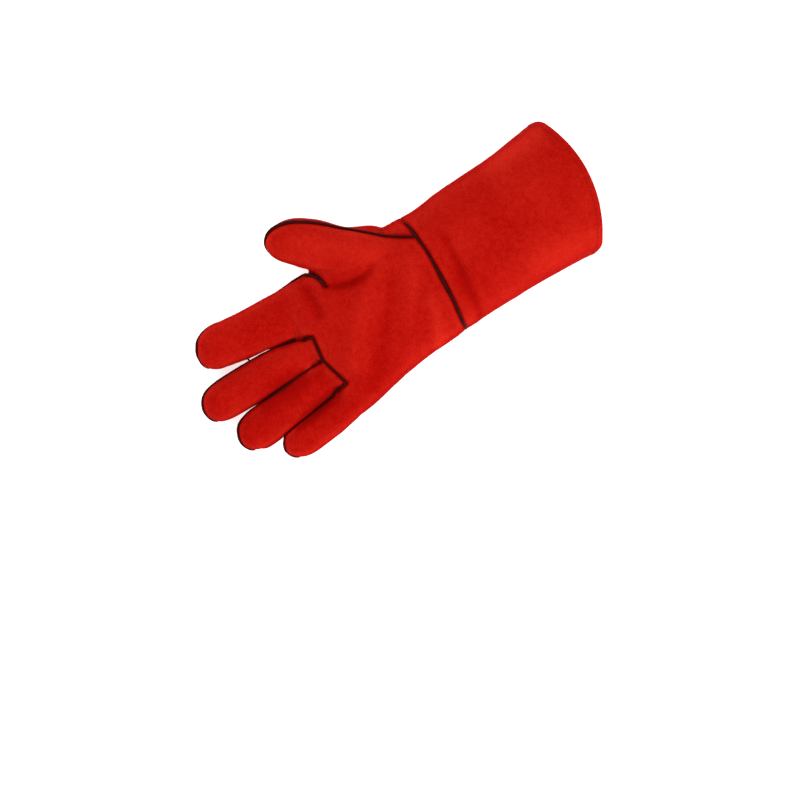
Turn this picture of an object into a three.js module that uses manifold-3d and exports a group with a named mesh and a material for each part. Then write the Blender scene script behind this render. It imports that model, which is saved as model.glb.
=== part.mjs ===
// Welding safety glove for the right hand, sewn from split cowhide, lying on its back with the palm up.
// Millimetres, +Z up. +X runs from the fingertips to the cuff opening, +Y towards the thumb.
// Each leather panel is its own hollow wall; the black piping that is sewn into the seams is separate.
import * as THREE from "three";
import { mergeVertices } from "three/addons/utils/BufferGeometryUtils.js";
import Module from "manifold-3d";

const wasm = await Module();
wasm.setup();

// Leather and seams
const WALL = 2.0; // split leather with its thin fleece lining
const SEAM_GAP = 0.3; // clearance between neighbouring panels
const PIPING_RADIUS = 1.2;
const PIPING_CLEARANCE = 0.45; // from the panels' faceted surface to the piping
const PIPING_SIDES = 6;
const PIPING_STEP = 7; // spacing of the piping's sections along its seam

// Form of the tubes that the panels are cut from
const HAND_ROUNDNESS = 2.4; // superellipse exponent of a section, 2 is an ellipse
const FINGER_ROUNDNESS = 2.25;
const DOME_ROUNDNESS = 2.35; // of the tips, lengthwise
const SINK = 2.5; // how far the round underside would reach below the surface that the glove rests on
const CEILING = 150; // above every part of the glove
const CELLAR = -150; // below every part of the glove

// Hand and cuff, one row for each section across them, from the cuff opening to the knuckles
const CUFF_START = 182;
const KNUCKLE_ROUNDING = 16;
const HAND_STATIONS = 13; // sections and sides of the faceted tube
const HAND_SIDES = 26;
const DIGIT_SIDES = 14;
const HAND_SECTIONS = table("x thumbSide littleSide height", [
  [182, 45.2, -71.5, 77],
  [150, 41.8, -69.4, 73],
  [125, 38.6, -67.2, 68],
  [95, 37.3, -65.9, 62],
  [65, 36.6, -65.2, 56],
  [45, 34.8, -65.0, 51],
  [25, 36.4, -65.8, 48],
  [0, 36.8, -67.0, 48],
  [-25, 37.6, -69.4, 48],
  [-50, 38.4, -74.0, 45],
  [-70, 39.0, -77.5, 38],
  [-90, 39.4, -79.0, 29],
]);

// Digits, one row for each section along them; `across` is the offset of the centre from the straight axis
const DIGITS = {
  index: {
    base: [-62, 15.9], heading: 172, length: 96.5, tip: 22,
    sections: table("along across rise halfWidth halfHeight", [
      [0, 0, 16.0, 20.0, 15.0],
      [33, 0, 15.0, 19.0, 14.0],
      [60, 0.4, 16.0, 17.6, 13.4],
      [78, 0.2, 18.5, 17.2, 12.8],
      [96.5, -1.6, 21.5, 15.6, 11.0],
    ]),
  },
  middle: {
    base: [-62, -13.0], heading: 179, length: 112.5, tip: 20,
    sections: table("along across rise halfWidth halfHeight", [
      [0, 0, 16.0, 15.0, 15.0],
      [40, 0.2, 15.0, 15.6, 14.0],
      [70, 0.4, 16.0, 15.8, 13.4],
      [92, 0.4, 19.5, 15.2, 12.6],
      [112.5, -1.0, 23.5, 13.6, 10.8],
    ]),
  },
  ring: {
    base: [-62, -36.6], heading: 185, length: 103, tip: 22,
    sections: table("along across rise halfWidth halfHeight", [
      [0, 0, 16.0, 14.8, 14.8],
      [40, 0, 15.0, 15.8, 13.8],
      [68, 0.2, 16.0, 16.0, 13.0],
      [86, 0.2, 18.5, 15.4, 12.2],
      [103, -0.2, 22.0, 14.0, 10.4],
    ]),
  },
  little: {
    base: [-58, -63.2], heading: 185, length: 81.5, tip: 19,
    sections: table("along across rise halfWidth halfHeight", [
      [0, 1.6, 15.0, 11.6, 14.0],
      [14, 0.2, 14.8, 13.9, 13.7],
      [30, -0.4, 14.0, 13.4, 12.8],
      [52, -0.4, 14.5, 12.6, 12.2],
      [66, 0, 16.5, 12.0, 11.4],
      [81.5, 0.8, 19.0, 11.0, 9.6],
    ]),
  },
  thumb: {
    base: [10.4, 12.1], heading: 137, length: 99.0, tip: 22,
    sections: table("along across rise halfWidth halfHeight", [
      [0, 2, 20.0, 18.0, 20.0],
      [20, 2, 26.0, 20.0, 21.0],
      [38, 0.4, 29.0, 19.2, 20.0],
      [62, 0.0, 31.0, 19.2, 17.0],
      [78, -0.6, 32.5, 16.8, 15.0],
      [99.0, -3.0, 34.5, 14.0, 12.0],
    ]),
  },
};

// Lines between neighbouring fingers seen from above, from the palm to the tips
const INDEX_MIDDLE_LINE = [[-74.8, -5.7], [-110, 4.4], [-145, 8.4], [-200, 13.5]];
const MIDDLE_RING_LINE = [[-78, -25.7], [-133, -27.6], [-200, -28.0]];
const RING_LITTLE_LINE = [[-71.5, -51.0], [-81.5, -51.8], [-136, -59.8], [-200, -70.0]];
const CROTCH_X = -88; // the fingers part here

// Seams on the palm side, seen from above
const WRIST_SEAM = [
  [31.5, 60], [32.2, 33.4], [35.2, 18.1], [36, -1], [35.2, -27], [33.8, -46], [30.5, -64], [29, -90],
];
const FINGER_BASE_SEAM = [[-74.8, -5.7], [-78, -25.7], [-71.5, -51.0]];
const THUMB_SLIT = [[-43.2, 23.0], [-46.8, 31.0], [-51.0, 40.5]];
const THUMB_SEAM_OFFSET = 17.2; // thumb seam, from the thumb's axis to its outer side
const THUMB_SEAM_SLOPE = 0.52; // the thumb's two halves part on a slope across it
const THUMB_SEAM_RISE = 0.13; // and along it
const THUMB_SEAM_HEIGHT = 27; // at the base of the thumb's axis

// Height of the seam between the palm side and the back
const SIDE_SEAM = table("x height", [
  [-185, 9], [-150, 9], [-118, 8], [-88, 8.5], [-50, 13], [30, 14], [185, 19],
]);
const TIP_SEAM_LIFT = 9; // the seam climbs this far to cross each fingertip
const TIP_SEAM_REACH = 13; // and is down again at this distance from a finger's axis
const TIP_CURL_X = -118; // from here on the fingers rise from the surface
const TIP_CURL = 0.09;

// Piping: the stretches where it stands out of a seam
const WRIST_PIPING_TURN = [-28, 200]; // degrees, from under the thumb side over the palm
const THUMB_PIPING_FOOT = -14; // along the thumb's axis, just clear of the wrist piping
const THUMB_PIPING_SHOULDER = 26;
// Where a digit's piping starts on its thumb side and ends on its other side, along its axis
const DIGIT_PIPING_ENDS = {
  thumb: [34, 68], index: [20, 52], middle: [62, 101], ring: [94, 82], little: [76, 45],
};
const PAST_THE_CROTCH = [[-51.4, 41.2, 30], [-56, 42.4, 14], [-68, 41.9, 11.5]]; // index piping, x y z
const FINGER_BASE_PIPING = [[-108, 4.0], ...FINGER_BASE_SEAM, [-84, -52.2]];
const MIDDLE_RING_PIPING = [[-82.5, -25.9], [-130, -27.5]];

// Cuff opening: an arc seen from above
const RIM_CENTRE = [70.3, -2.7];
const RIM_RADIUS = 106;
const RIM_HALF_ANGLE = 54; // degrees, past both corners of the opening

// Seam under the thumb side of the hand, between the thumb piece and the back, seen from above
const UNDER_THUMB_SEAM = [[-51.5, 37.5], [-20, 33.2], [60, 28.0]];

// Finishes
const LEATHER = { color: 0xc0180f, roughness: 0.95, metalness: 0 };
const PIPING_LEATHER = { color: 0x1d1412, roughness: 0.6, metalness: 0 };

// Turns rows of numbers into rows with named columns.
function table(names, rows) {
  const columns = names.split(" ");
  return rows.map((row) => Object.fromEntries(columns.map((name, i) => [name, row[i]])));
}

// Reads one column of a table between its rows, along a smooth curve through them.
function readTable(rows, key, column, at) {
  const ordered = rows[0][key] < rows[rows.length - 1][key] ? rows : [...rows].reverse();
  const last = ordered.length - 1;
  const here = THREE.MathUtils.clamp(at, ordered[0][key], ordered[last][key]);
  let i = 0;
  while (i < last - 1 && here > ordered[i + 1][key]) i += 1;
  const slope = (a, b) => (ordered[b][column] - ordered[a][column]) / (ordered[b][key] - ordered[a][key]);
  const width = ordered[i + 1][key] - ordered[i][key];
  const slopeIn = slope(Math.max(i - 1, 0), i + 1) * width;
  const slopeOut = slope(i, Math.min(i + 2, last)) * width;
  const t = (here - ordered[i][key]) / width;
  const low = ordered[i][column];
  const high = ordered[i + 1][column];
  const cubic = (2 * t ** 3 - 3 * t ** 2 + 1) * low + (3 * t ** 2 - 2 * t ** 3) * high;
  return cubic + (t ** 3 - 2 * t ** 2 + t) * slopeIn + (t ** 3 - t ** 2) * slopeOut;
}

// A straight-axed tube with superellipse sections and a domed tip. `inset` shrinks it on every side.
class Tube {
  constructor({ base, heading, length, tip, sections }, roundness, stations, sides) {
    const angle = THREE.MathUtils.degToRad(heading);
    Object.assign(this, { base, length, tip, sections, roundness, stations, sides });
    this.forward = [Math.cos(angle), Math.sin(angle)];
    this.sideways = [Math.sin(angle), -Math.cos(angle)];
  }

  section(along, inset = 0) {
    const read = (column) => readTable(this.sections, "along", column, along);
    const domeStart = this.length - this.tip;
    const into = Math.max(0, (along - domeStart) / (this.tip - inset));
    const dome = Math.max(0, 1 - into ** DOME_ROUNDNESS) ** (1 / DOME_ROUNDNESS);
    return {
      across: read("across"),
      rise: read("rise"),
      halfWidth: (read("halfWidth") - inset) * dome,
      halfHeight: (read("halfHeight") - inset) * dome,
    };
  }

  // A point of the tube from its distances along, across and up.
  point(along, across, height) {
    const x = this.base[0] + this.forward[0] * along + this.sideways[0] * across;
    const y = this.base[1] + this.forward[1] * along + this.sideways[1] * across;
    return new THREE.Vector3(x, y, height);
  }

  // Distances along and across of a place seen from above.
  local(x, y) {
    const dx = x - this.base[0];
    const dy = y - this.base[1];
    return [
      dx * this.forward[0] + dy * this.forward[1],
      dx * this.sideways[0] + dy * this.sideways[1],
    ];
  }

  // Height of the upper surface over a place, or minus infinity beside the tube.
  top(x, y, inset = 0) {
    const [along, across] = this.local(x, y);
    if (along < 0 || along > this.length - inset) return -Infinity;
    const section = this.section(along, inset);
    const reach = Math.abs(across - section.across) / section.halfWidth;
    if (!(reach < 1)) return -Infinity;
    return section.rise + section.halfHeight * (1 - reach ** this.roundness) ** (1 / this.roundness);
  }

  solid(inset = 0) {
    const end = this.length - inset;
    const domeStart = this.length - this.tip;
    const alongs = [];
    for (let i = 0; i <= this.stations; i += 1) alongs.push((domeStart * i) / this.stations);
    const domeRings = 4;
    for (let i = 1; i <= domeRings; i += 1) {
      const angle = (i / (domeRings + 0.6)) * (Math.PI / 2);
      alongs.push(domeStart + (end - domeStart) * Math.sin(angle));
    }
    const positions = [];
    const indices = [];
    for (const along of alongs) {
      const section = this.section(along, inset);
      for (let k = 0; k < this.sides; k += 1) {
        const angle = (2 * Math.PI * k) / this.sides;
        const power = 2 / this.roundness;
        const across = section.across + section.halfWidth * signedPower(Math.cos(angle), power);
        const height = section.rise + section.halfHeight * signedPower(Math.sin(angle), power);
        positions.push(...this.point(along, across, height).toArray());
      }
    }
    const rings = alongs.length;
    for (let i = 0; i < rings - 1; i += 1) {
      for (let k = 0; k < this.sides; k += 1) {
        const a = i * this.sides + k;
        const b = i * this.sides + ((k + 1) % this.sides);
        indices.push(a, a + this.sides, b, b, a + this.sides, b + this.sides);
      }
    }
    const first = this.section(0, inset);
    const last = this.section(end, inset);
    positions.push(...this.point(0, first.across, first.rise).toArray());
    positions.push(...this.point(end, last.across, last.rise).toArray());
    const baseCentre = rings * this.sides;
    for (let k = 0; k < this.sides; k += 1) {
      const next = (k + 1) % this.sides;
      indices.push(baseCentre, k, next);
      indices.push(baseCentre + 1, baseCentre - this.sides + next, baseCentre - this.sides + k);
    }
    const geometry = new THREE.BufferGeometry();
    geometry.setAttribute("position", new THREE.Float32BufferAttribute(positions, 3));
    geometry.setIndex(indices);
    return toSolid(geometry);
  }
}

function signedPower(value, power) {
  return Math.sign(value) * Math.abs(value) ** power;
}

// Makes a closed mesh ready for joining and cutting.
function toSolid(geometry) {
  const bare = geometry.clone();
  bare.deleteAttribute("normal");
  bare.deleteAttribute("uv");
  const merged = mergeVertices(bare, 1e-4);
  return new wasm.Manifold(new wasm.Mesh({
    numProp: 3,
    vertProperties: new Float32Array(merged.attributes.position.array),
    triVerts: new Uint32Array(merged.index.array),
  }));
}

// Makes a mesh's geometry from a cut solid.
function toGeometry(solid) {
  const mesh = solid.getMesh();
  const geometry = new THREE.BufferGeometry();
  geometry.setAttribute("position", new THREE.BufferAttribute(mesh.vertProperties, 3));
  geometry.setIndex(new THREE.BufferAttribute(mesh.triVerts, 1));
  return geometry;
}

// An upright wall-sided block over an outline that is seen from above.
function block(outline, low = CELLAR, high = CEILING) {
  const shape = new THREE.Shape(outline.map(([x, y]) => new THREE.Vector2(x, y)));
  const geometry = new THREE.ExtrudeGeometry(shape, { depth: high - low, bevelEnabled: false });
  geometry.translate(0, 0, low);
  return toSolid(geometry);
}

// The space between a level plane and a surface that is given by its height over each place.
function slabTo(xs, ys, heightAt, level) {
  const positions = [];
  const indices = [];
  const columns = ys.length;
  const under = level > heightAt(xs[0], ys[0]);
  for (const z of [heightAt, () => level]) {
    for (const x of xs) {
      for (const y of ys) positions.push(x, y, z(x, y));
    }
  }
  const layer = xs.length * columns;
  const quad = (a, b, c, d) => (under ? indices.push(a, b, c, a, c, d) : indices.push(a, c, b, a, d, c));
  for (let i = 0; i < xs.length - 1; i += 1) {
    for (let j = 0; j < columns - 1; j += 1) {
      const a = i * columns + j;
      quad(a, a + 1, a + columns + 1, a + columns);
      quad(layer + a, layer + a + columns, layer + a + columns + 1, layer + a + 1);
    }
  }
  for (let i = 0; i < xs.length - 1; i += 1) {
    const a = i * columns;
    const b = a + columns - 1;
    quad(a, a + columns, layer + a + columns, layer + a);
    quad(b, layer + b, layer + b + columns, b + columns);
  }
  for (let j = 0; j < columns - 1; j += 1) {
    const b = (xs.length - 1) * columns + j;
    quad(j, layer + j, layer + j + 1, j + 1);
    quad(b, b + 1, layer + b + 1, layer + b);
  }
  const geometry = new THREE.BufferGeometry();
  geometry.setAttribute("position", new THREE.Float32BufferAttribute(positions, 3));
  geometry.setIndex(indices);
  return toSolid(geometry);
}

function joined(solids) {
  return solids.reduce((whole, solid) => whole.add(solid));
}

function steps(from, to, spacing) {
  const count = Math.max(1, Math.round(Math.abs(to - from) / spacing));
  return Array.from({ length: count + 1 }, (_, i) => from + ((to - from) * i) / count);
}

function shifted(line, dx, dy) {
  return line.map(([x, y]) => [x + dx, y + dy]);
}

// Tubes of the hand and the digits
const handTube = new Tube({
  base: [CUFF_START, 0],
  heading: 180,
  length: CUFF_START - CROTCH_X,
  tip: KNUCKLE_ROUNDING,
  sections: HAND_SECTIONS.map(({ x, thumbSide, littleSide, height }) => ({
    along: CUFF_START - x,
    across: (thumbSide + littleSide) / 2,
    rise: (height - SINK) / 2,
    halfWidth: (thumbSide - littleSide) / 2,
    halfHeight: (height + SINK) / 2,
  })),
}, HAND_ROUNDNESS, HAND_STATIONS, HAND_SIDES);
const fingers = ["index", "middle", "ring", "little"];
const digitTubes = Object.fromEntries(Object.entries(DIGITS).map(([name, form]) => {
  const stations = name === "thumb" ? 6 : 4;
  return [name, new Tube(form, FINGER_ROUNDNESS, stations, DIGIT_SIDES)];
}));
const thumbTube = digitTubes.thumb;

// Strip of the plan that a finger has to itself
function lane(name, inset) {
  const far = 120;
  const upperLines = {
    index: [[-60, far], [-200, far]],
    middle: shifted(INDEX_MIDDLE_LINE, 0, -inset),
    ring: shifted(MIDDLE_RING_LINE, 0, -inset),
    little: shifted(RING_LITTLE_LINE, 0, -inset),
  };
  const lowerLines = {
    index: shifted(INDEX_MIDDLE_LINE, 0, inset),
    middle: shifted(MIDDLE_RING_LINE, 0, inset),
    ring: shifted(RING_LITTLE_LINE, 0, inset),
    little: [[-60, -far], [-200, -far]],
  };
  return block([...upperLines[name], ...lowerLines[name].reverse()]);
}

function tubes(inset) {
  const clearance = inset + SEAM_GAP / 2;
  const fingerSolids = fingers.map((name) => digitTubes[name].solid(inset).intersect(lane(name, clearance)));
  return joined([handTube.solid(inset), thumbTube.solid(inset), ...fingerSolids]);
}

// Cuts off what is below a level and, where `rim` is set, what is beyond the curved cuff opening.
function aboveLevel(solid, level, rim) {
  const far = 250;
  const outline = [[-far, -far]];
  if (rim) {
    for (const angle of steps(-RIM_HALF_ANGLE, RIM_HALF_ANGLE, 5.4)) {
      const turn = THREE.MathUtils.degToRad(angle);
      const [x, y] = RIM_CENTRE;
      outline.push([x + RIM_RADIUS * Math.cos(turn), y + RIM_RADIUS * Math.sin(turn)]);
    }
  } else {
    outline.push([far, -far], [far, far]);
  }
  outline.push([-far, far]);
  return solid.intersect(block(outline, level));
}

const shell = aboveLevel(tubes(0), 0, true).subtract(aboveLevel(tubes(WALL), WALL, false));

// Height of the seam between palm side and back
function sideSeamHeight(x, y) {
  const level = readTable(SIDE_SEAM, "x", "height", x);
  if (x > CROTCH_X) return level;
  const distances = fingers.map((name) => Math.abs(digitTubes[name].local(x, y)[1]));
  const reach = Math.min(1, Math.min(...distances) / TIP_SEAM_REACH);
  const curl = Math.max(0, TIP_CURL_X - x) * TIP_CURL;
  const lift = THREE.MathUtils.clamp((CROTCH_X - x) / 20, 0, 1);
  return level + curl + lift * TIP_SEAM_LIFT * (1 - reach ** 2);
}

// Height of the seam that parts the thumb's front from its back
function thumbSeamHeight(x, y) {
  const [along, across] = thumbTube.local(x, y);
  return THUMB_SEAM_HEIGHT + THUMB_SEAM_RISE * along + THUMB_SEAM_SLOPE * across;
}

// The cutting surface is fine only over the fingers, where the seam climbs over each tip.
const gridX = [...steps(-190, CROTCH_X, 9.5), -50, 30, 100, 205];
const gridY = [-110, ...steps(-86, 46, 6), 120];
const halfGap = SEAM_GAP / 2;
const palmSide = slabTo(gridX, gridY, (x, y) => sideSeamHeight(x, y) + halfGap, CEILING);
const backSide = slabTo(gridX, gridY, (x, y) => sideSeamHeight(x, y) - halfGap, CELLAR);
const cuffZone = block([...shifted(WRIST_SEAM, halfGap, 0), [220, -90], [220, 60]]);
const handZone = block([...shifted(WRIST_SEAM, -halfGap, 0), [-220, -90], [-220, 120], [31.5, 120]]);

// The space that holds the thumb's back: outside the thumb seam, and under the slope that parts the thumb
function thumbZone(grow) {
  const under = block([
    ...shifted(UNDER_THUMB_SEAM, 0, -grow),
    [60, 120], [-120, 120], [-85, 62], [-53.5 - grow, 41.5],
  ]);
  const belowSeam = slabTo([-130, 70], [-20, 130], (x, y) => thumbSeamHeight(x, y) + grow, CELLAR);
  const seam = [-25, 130].map((along) => thumbTube.point(along, THUMB_SEAM_OFFSET - grow, 0));
  const outside = block([...seam.map(({ x, y }) => [x, y]), [80, 130]]);
  return under.intersect(belowSeam).add(outside.intersect(palmSide)).add(outside.intersect(under));
}

// The space over a finger front that is sewn in as a piece of its own
function fingerFront(name, grow) {
  const lines = { middle: [INDEX_MIDDLE_LINE, MIDDLE_RING_LINE], ring: [MIDDLE_RING_LINE, RING_LITTLE_LINE] };
  const [upper, lower] = lines[name];
  const side = shifted(upper, grow, grow);
  const otherSide = shifted(lower, grow, -grow);
  return block([...side, ...otherSide.reverse()]);
}

// The palm is slit from the thumb's crotch
const slit = block([...shifted(THUMB_SLIT, -halfGap, 0), ...shifted(THUMB_SLIT, halfGap, 0).reverse()], 30);
const front = shell.intersect(palmSide);
const panels = {
  back_panel: shell.intersect(backSide).subtract(thumbZone(halfGap).intersect(handZone)),
  palm_panel: front.intersect(handZone)
    .subtract(thumbZone(halfGap))
    .subtract(fingerFront("middle", halfGap))
    .subtract(fingerFront("ring", halfGap))
    .subtract(slit),
  middle_finger_front: front.intersect(fingerFront("middle", -halfGap)),
  ring_finger_front: front.intersect(fingerFront("ring", -halfGap)),
  thumb_back: shell.intersect(thumbZone(-halfGap)).intersect(handZone),
  cuff_front: front.intersect(cuffZone),
};

// Height of the glove's upper surface at a place, with the piping's own clearance
const PIPING_OFFSET = PIPING_RADIUS + PIPING_CLEARANCE;
function surfaceHeight(x, y) {
  const heights = [handTube, ...Object.values(digitTubes)].map((tube) => tube.top(x, y, -PIPING_OFFSET));
  return Math.max(...heights);
}

// Points along a line seen from above, laid on the upper surface
function overSurface(line) {
  const points = [];
  for (let i = 0; i < line.length - 1; i += 1) {
    const from = new THREE.Vector2(...line[i]);
    const to = new THREE.Vector2(...line[i + 1]);
    const count = Math.max(1, Math.round(from.distanceTo(to) / PIPING_STEP));
    for (let k = i === 0 ? 0 : 1; k <= count; k += 1) {
      const place = from.clone().lerp(to, k / count);
      points.push(new THREE.Vector3(place.x, place.y, surfaceHeight(place.x, place.y)));
    }
  }
  return points;
}

// Points along one side of a digit at a seam's height; side is 1 towards the thumb side, -1 away from it
function alongDigit(tube, side, from, seamHeight) {
  const domeStart = tube.length - tube.tip;
  const domeAngles = steps(0, 82, 13).map(THREE.MathUtils.degToRad);
  const onDome = domeAngles.map((angle) => domeStart + (tube.tip + PIPING_OFFSET) * Math.sin(angle));
  const straight = from < domeStart ? steps(from, domeStart, PIPING_STEP).slice(0, -1) : [];
  const alongs = [...straight, ...onDome.filter((along) => along > from)];
  return alongs.map((along) => {
    const section = tube.section(along, -PIPING_OFFSET);
    let across = section.across + side * section.halfWidth;
    let height = section.rise;
    for (let pass = 0; pass < 8; pass += 1) {
      const place = tube.point(along, across, 0);
      height = seamHeight(place.x, place.y);
      const reach = Math.min(1, Math.abs(height - section.rise) / section.halfHeight);
      const inward = (1 - reach ** tube.roundness) ** (1 / tube.roundness);
      across = section.across + side * section.halfWidth * inward;
    }
    return tube.point(along, across, height);
  });
}

// Points round a digit's tip, up its thumb side and back down its other side
function roundTip(name, seamHeight) {
  const [from, to] = DIGIT_PIPING_ENDS[name];
  const tube = digitTubes[name];
  return [...alongDigit(tube, 1, from, seamHeight), ...alongDigit(tube, -1, to, seamHeight).reverse()];
}

function piping(points) {
  const curve = new THREE.CatmullRomCurve3(points, false, "centripetal");
  const corners = Array.from({ length: PIPING_SIDES }, (_, i) => {
    const angle = (2 * Math.PI * i) / PIPING_SIDES;
    return new THREE.Vector2(PIPING_RADIUS * Math.cos(angle), PIPING_RADIUS * Math.sin(angle));
  });
  const count = Math.round(curve.getLength() / PIPING_STEP);
  const form = { steps: count, bevelEnabled: false, extrudePath: curve };
  return new THREE.ExtrudeGeometry(new THREE.Shape(corners), form);
}

// Across the hand at the wrist seam, from under the thumb side over the palm to the little-finger side
function wristPath(fromDegrees, toDegrees) {
  const alongAt = (x) => CUFF_START - x;
  return steps(fromDegrees, toDegrees, 9).map((degrees) => {
    const angle = THREE.MathUtils.degToRad(degrees);
    let x = WRIST_SEAM[2][0];
    let place = null;
    for (let pass = 0; pass < 4; pass += 1) {
      const section = handTube.section(alongAt(x), -PIPING_OFFSET);
      const power = 2 / handTube.roundness;
      const across = section.across + section.halfWidth * signedPower(Math.cos(angle), power);
      const height = section.rise + section.halfHeight * signedPower(Math.sin(angle), power);
      x = wristSeamX(across);
      place = new THREE.Vector3(x, across, height);
    }
    return place;
  });
}

function wristSeamX(y) {
  const rows = WRIST_SEAM.map(([x, at]) => ({ y: at, x }));
  return readTable(rows, "y", "x", y);
}

const thumbSeam = [THUMB_PIPING_FOOT, THUMB_PIPING_SHOULDER].map((along) => {
  const { x, y } = thumbTube.point(along, THUMB_SEAM_OFFSET, 0);
  return [x, y];
});
const pipings = {
  wrist_piping: wristPath(...WRIST_PIPING_TURN),
  thumb_piping: [...overSurface(thumbSeam), ...roundTip("thumb", thumbSeamHeight)],
  index_piping: [
    ...overSurface(THUMB_SLIT.slice(0, 2)),
    ...PAST_THE_CROTCH.map((place) => new THREE.Vector3(...place)),
    ...roundTip("index", sideSeamHeight),
  ],
  middle_piping: roundTip("middle", sideSeamHeight),
  ring_piping: roundTip("ring", sideSeamHeight),
  little_piping: roundTip("little", sideSeamHeight),
  finger_base_piping: overSurface(FINGER_BASE_PIPING),
  middle_ring_piping: overSurface(MIDDLE_RING_PIPING),
};

const glove = new THREE.Group();
function addPiece(name, geometry, finish) {
  const piece = new THREE.Mesh(geometry, new THREE.MeshStandardMaterial(finish));
  piece.name = name;
  glove.add(piece);
}
for (const [name, solid] of Object.entries(panels)) addPiece(name, toGeometry(solid), LEATHER);
for (const [name, points] of Object.entries(pipings)) addPiece(name, piping(points), PIPING_LEATHER);

// The origin is under the middle of the glove, on the surface that it rests on.
const middle = new THREE.Box3().setFromObject(glove).getCenter(new THREE.Vector3());
glove.position.set(-middle.x, -middle.y, 0);
glove.updateMatrixWorld(true);

export default glove;
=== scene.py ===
# Welding safety glove for the right hand, palm up, sewn from red split cowhide with black piping.
# Sizes are in millimetres and are turned to metres where a mesh is made.
# +X runs to the cuff, +Y to the thumb.
import itertools
import math

import bmesh
import bpy
import numpy as np
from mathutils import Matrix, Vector, noise
from mathutils.bvhtree import BVHTree
from mathutils.kdtree import KDTree


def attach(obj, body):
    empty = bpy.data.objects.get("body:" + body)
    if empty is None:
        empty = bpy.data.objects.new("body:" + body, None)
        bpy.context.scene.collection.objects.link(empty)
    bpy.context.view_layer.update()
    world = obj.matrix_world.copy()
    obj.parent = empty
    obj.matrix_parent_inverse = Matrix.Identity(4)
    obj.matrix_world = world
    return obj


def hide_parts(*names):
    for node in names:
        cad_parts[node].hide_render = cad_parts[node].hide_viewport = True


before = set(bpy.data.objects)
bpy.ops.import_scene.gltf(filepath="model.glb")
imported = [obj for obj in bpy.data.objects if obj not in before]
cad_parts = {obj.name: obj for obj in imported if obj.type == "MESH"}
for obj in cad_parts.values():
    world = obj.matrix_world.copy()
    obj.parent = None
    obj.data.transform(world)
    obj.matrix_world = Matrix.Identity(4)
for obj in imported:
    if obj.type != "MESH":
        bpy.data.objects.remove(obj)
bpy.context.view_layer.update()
bpy.ops.object.select_all(action="DESELECT")

# Leather shape
# The glove is cut from flat panels, but worn in and stuffed with paper it is one full, round form.
# Its hand and cuff are a tube, and a domed tube for each digit is joined to it.
MM = 0.001
VOXEL = 1.3
RELAX_PASSES = 10
FINGER_GAP = 2.0  # half the space left between two fingers while they are joined
TOUCHING_GAP = 0.15  # half of what stays open once they are pressed together
GLOVE_SHIFT = np.array([0.46, -0.27, 0.0])  # from the pattern's own origin to the middle of the glove
HAND_ROUNDNESS = 2.4
FINGER_ROUNDNESS = 2.25
DOME_ROUNDNESS = 2.35
SINK = 2.5  # the hand's tube dips this far under the floor, which then flattens it
FLOOR_SOFTNESS = 1.6  # how gently the underside turns up from the floor
CUFF_START = 188  # beyond the cuff's edge, which is cut later
KNUCKLE_X = -88  # here the fingers part
LOFT_SIDES, LOFT_STEP, DOME_RINGS = 96, 2.5, 14
DOME_END = math.pi / 2 - 0.05  # just short of the tip, which a fan of faces closes
HAND_ROWS = [  # x, thumb side, little-finger side, height
    (188, 46.5, -72.8, 77.4), (182, 46.0, -72.5, 77), (150, 42.4, -70.1, 73), (125, 39.0, -67.4, 68),
    (95, 37.6, -65.9, 62), (65, 37.0, -65.2, 56), (45, 34.8, -65.3, 51), (25, 36.4, -66.5, 48),
    (0, 36.8, -67.3, 48), (-25, 37.6, -69.8, 48), (-50, 38.9, -74.4, 45), (-70, 39.5, -77.5, 38),
    (-90, 38.2, -78.4, 29),
]
DIGITS = {  # base, heading, length, tip, and rows of along, across, rise, half width, half height
    "index": ((-62, 15.9), 172, 98.0, 22, [
        (0, -0.2, 16.0, 22.8, 15.0), (33, -0.5, 15.0, 20.8, 14.0), (60, -0.3, 16.0, 18.8, 13.4),
        (78, 0.2, 18.5, 18.0, 12.8), (98.0, -1.1, 21.5, 16.8, 11.0)]),
    "middle": ((-62, -13.0), 179, 115.8, 20, [
        (0, 0, 16.0, 15.0, 15.0), (40, 0.4, 15.0, 15.8, 14.0), (70, 0.5, 16.0, 16.1, 13.4),
        (92, 0.6, 19.5, 15.9, 12.6), (115.8, 0.4, 23.5, 14.6, 10.8)]),
    "ring": ((-62, -36.6), 185, 104.9, 22, [
        (0, 0, 16.0, 14.8, 14.8), (40, 0, 15.0, 15.8, 13.8), (68, -0.5, 16.0, 16.2, 13.0),
        (86, -0.4, 18.5, 16.3, 12.2), (104.9, 0.4, 22.0, 14.9, 10.4)]),
    "little": ((-58, -63.2), 185, 82.8, 19, [
        (0, 5.0, 21.0, 8.0, 11.0), (15, 0.9, 17.5, 12.9, 12.8), (30, -0.4, 14.3, 13.9, 12.8),
        (52, -0.9, 14.5, 13.9, 12.2), (66, -0.9, 16.5, 13.8, 11.4), (82.8, 0.9, 19.0, 12.2, 9.6)]),
    "thumb": ((10.4, 12.1), 137, 100.4, 22, [
        (0, 2, 20.0, 18.0, 20.0), (19, 2.4, 26.0, 20.5, 21.0), (40, -1.5, 29.0, 19.9, 20.0),
        (62, -0.5, 31.0, 20.4, 17.0), (78, -0.4, 32.5, 18.5, 15.0), (100.4, -3.2, 34.5, 15.2, 12.0)]),
}
# The lines in the plan along which two fingers lie against each other.
INDEX_MIDDLE_LINE = [(-74.8, -5.7), (-110, 4.4), (-145, 8.4), (-200, 13.5)]
MIDDLE_RING_LINE = [
    (-78, -25.7), (-92, -26.0), (-100, -25.6), (-110, -26.9), (-121, -27.6), (-133, -27.5), (-200, -28.0),
]
RING_LITTLE_LINE = [(-71.5, -51.0), (-81.5, -51.8), (-136, -59.8), (-200, -70.0)]


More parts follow.
